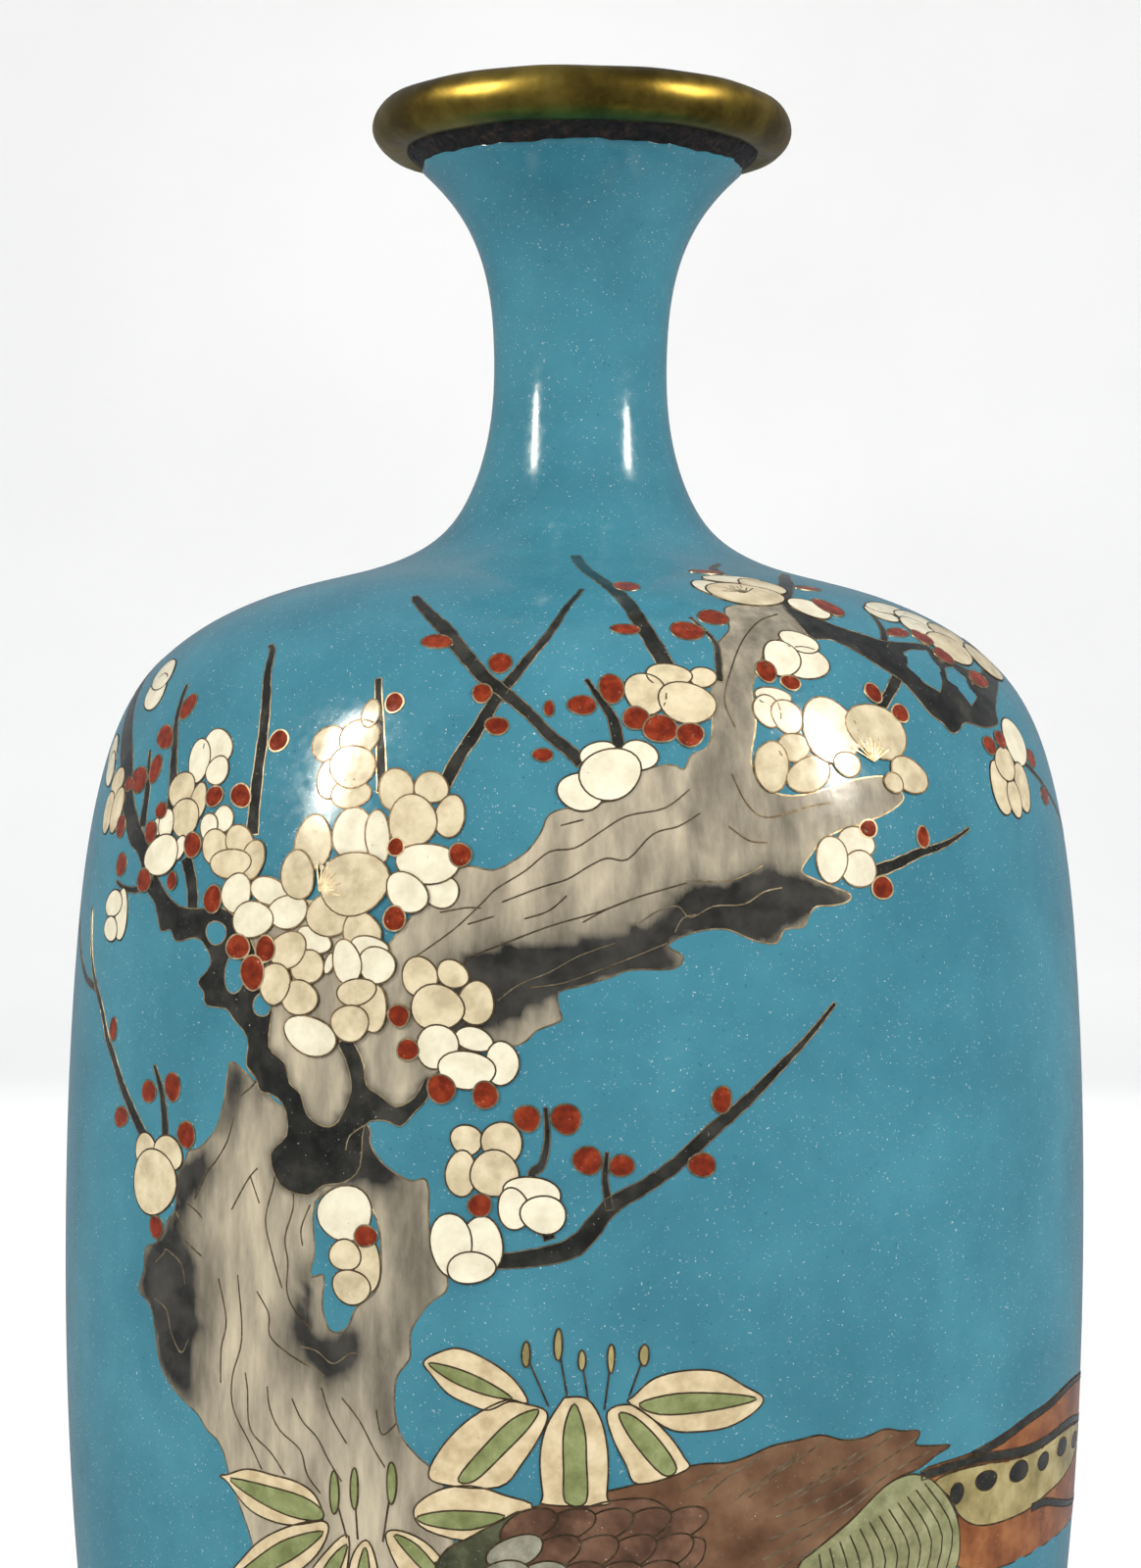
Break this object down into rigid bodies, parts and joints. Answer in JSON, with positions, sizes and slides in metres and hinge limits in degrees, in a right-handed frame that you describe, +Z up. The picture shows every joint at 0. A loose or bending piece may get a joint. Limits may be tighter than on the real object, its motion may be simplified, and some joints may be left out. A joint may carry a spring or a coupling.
{
  "type": "cloisonne vase",
  "caption": "Footed ovoid vase with a high shoulder, slender neck and flared mouth; enamel cells of blossom, trunk and pheasant on a turquoise ground.",
  "frame": {"origin": "centre of the circle that the foot stands on", "axes": "+Z up along the vase's axis; the design faces -Y"},
  "size_m": [0.1155, 0.1155, 0.254],
  "materials": {
    "copper": "dull oxidised copper",
    "brass": "worn, softly polished brass",
    "solder": "dark tarnished solder",
    "turquoise_enamel": "polished glassy enamel",
    "counter_enamel": "unpolished glassy enamel",
    "white_enamel": "polished glassy enamel",
    "cream_enamel": "polished glassy enamel",
    "red_enamel": "polished glassy enamel",
    "bark_enamel": "polished glassy enamel",
    "black_enamel": "polished glassy enamel",
    "leaf_enamel": "polished glassy enamel",
    "green_enamel": "polished glassy enamel",
    "brown_enamel": "polished glassy enamel",
    "orange_enamel": "polished glassy enamel",
    "cloison_wire": "thin wire ground flush with the enamel"
  },
  "bodies": {
    "root": {"copper_body": "copper", "copper_neck": "copper", "neck_solder_seam": "solder", "copper_base_plate": "copper", "base_solder_seam": "solder", "copper_foot_ring": "copper", "base_counter_enamel": "counter_enamel", "foot_rim": "brass", "mouth_rim": "brass", "mouth_solder_seam": "solder", "counter_enamel": "counter_enamel", "ground_enamel": "turquoise_enamel", "blossom_white_enamel": "white_enamel", "blossom_cream_enamel": "cream_enamel", "bud_enamel": "red_enamel", "leaf_blade_enamel": "leaf_enamel", "leaf_midrib_enamel": "green_enamel", "pheasant_neck_enamel": "green_enamel", "pheasant_back_enamel": "brown_enamel", "pheasant_rump_enamel": "green_enamel", "pheasant_tail_enamel": "orange_enamel", "dark_branch_enamel": "black_enamel", "trunk_enamel": "bark_enamel", "twig_enamel": "black_enamel", "blossom_white_cloisons": "cloison_wire", "blossom_cream_cloisons": "cloison_wire", "bud_cloisons": "cloison_wire", "leaf_blade_cloisons": "cloison_wire", "leaf_midrib_cloisons": "cloison_wire", "pheasant_neck_cloisons": "cloison_wire", "pheasant_back_cloisons": "cloison_wire", "pheasant_rump_cloisons": "cloison_wire", "pheasant_tail_cloisons": "cloison_wire", "dark_branch_cloisons": "cloison_wire", "trunk_cloisons": "cloison_wire", "twig_cloisons": "cloison_wire"}
  },
  "joints": []
}
